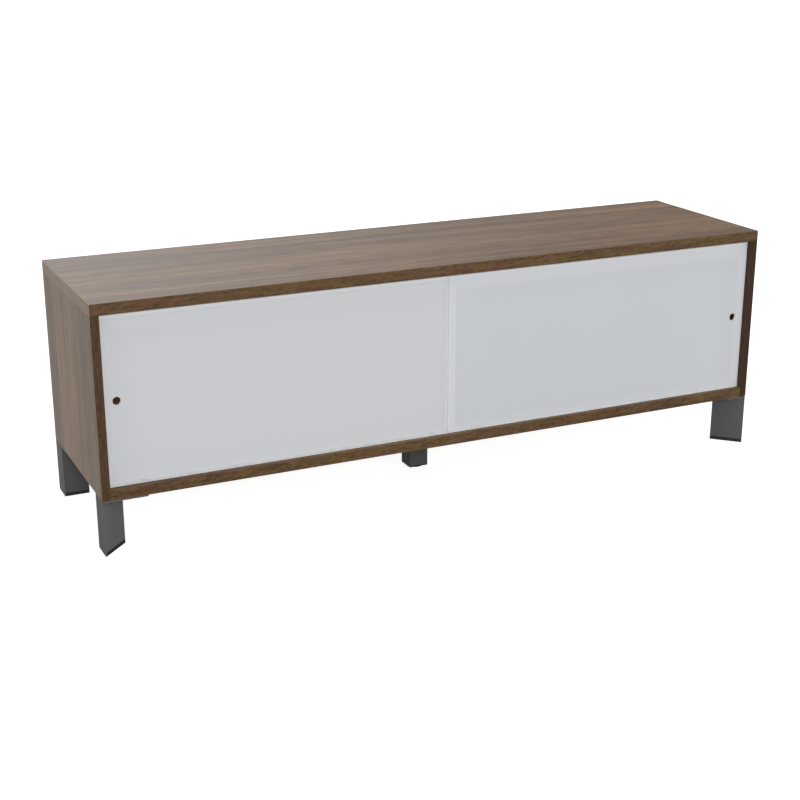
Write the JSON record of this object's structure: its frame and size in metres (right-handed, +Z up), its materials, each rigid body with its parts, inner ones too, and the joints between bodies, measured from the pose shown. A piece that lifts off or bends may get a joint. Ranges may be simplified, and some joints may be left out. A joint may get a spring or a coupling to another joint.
{
  "type": "sliding door cabinet",
  "caption": "Long low cabinet with sliding doors in twin tracks, a divided inside, triangular steel corner legs and a square centre leg with a levelling foot.",
  "frame": {"origin": "on the floor under the middle of the cabinet", "axes": "+X to the right of someone facing the doors, +Y to the rear, +Z up"},
  "size_m": [1.6764, 0.4382, 0.5588],
  "materials": {
    "walnut": "walnut veneer, satin lacquer",
    "dowel_wood": "plain beech",
    "door_panel": "pale, slightly translucent, smooth",
    "track_plastic": "white, smooth",
    "runner_plastic": "natural, waxy",
    "stop_rubber": "clear, soft",
    "leg_steel": "dark grey powder coat",
    "foot_plastic": "black, fine texture",
    "screw_steel": "dark zinc"
  },
  "bodies": {
    "cabinet": {"top_board": "walnut", "bottom_board": "walnut", "side_board_left": "walnut", "side_board_right": "walnut", "back_board": "walnut", "centre_divider": "walnut", "board_dowels": "dowel_wood", "lower_track": "track_plastic", "upper_track": "track_plastic", "corner_plate_screws": "screw_steel", "centre_plate_screws": "screw_steel", "centre_leg_plate": "leg_steel", "centre_leg_tube": "leg_steel", "centre_leg_cap": "foot_plastic", "stop_buttons_left": "stop_rubber", "stop_buttons_right": "stop_rubber", "leg_tube_front_left": "leg_steel", "leg_plate_front_left": "leg_steel", "leg_foot_front_left": "foot_plastic", "leg_tube_front_right": "leg_steel", "leg_plate_front_right": "leg_steel", "leg_foot_front_right": "foot_plastic", "leg_tube_back_left": "leg_steel", "leg_plate_back_left": "leg_steel", "leg_foot_back_left": "foot_plastic", "leg_tube_back_right": "leg_steel", "leg_plate_back_right": "leg_steel", "leg_foot_back_right": "foot_plastic"},
    "left_door": {"door_left": "door_panel", "door_runners_left": "runner_plastic", "door_guides_left": "runner_plastic"},
    "right_door": {"door_right": "door_panel", "door_runners_right": "runner_plastic", "door_guides_right": "runner_plastic"},
    "leveller": {"leveller_pad": "foot_plastic", "leveller_stem": "screw_steel"}
  },
  "joints": [
    {"name": "door_left_slide", "type": "slide", "parent": "cabinet", "child": "left_door", "axis": [1, 0, 0], "range_m": [0, 0.808]},
    {"name": "door_right_slide", "type": "slide", "parent": "cabinet", "child": "right_door", "axis": [1, 0, 0], "range_m": [-0.808, 0]},
    {"name": "leveller_turn", "type": "hinge", "parent": "cabinet", "child": "leveller", "pos_m": [0, 0, 0], "axis": [0, 0, 1], "continuous": true}
  ]
}
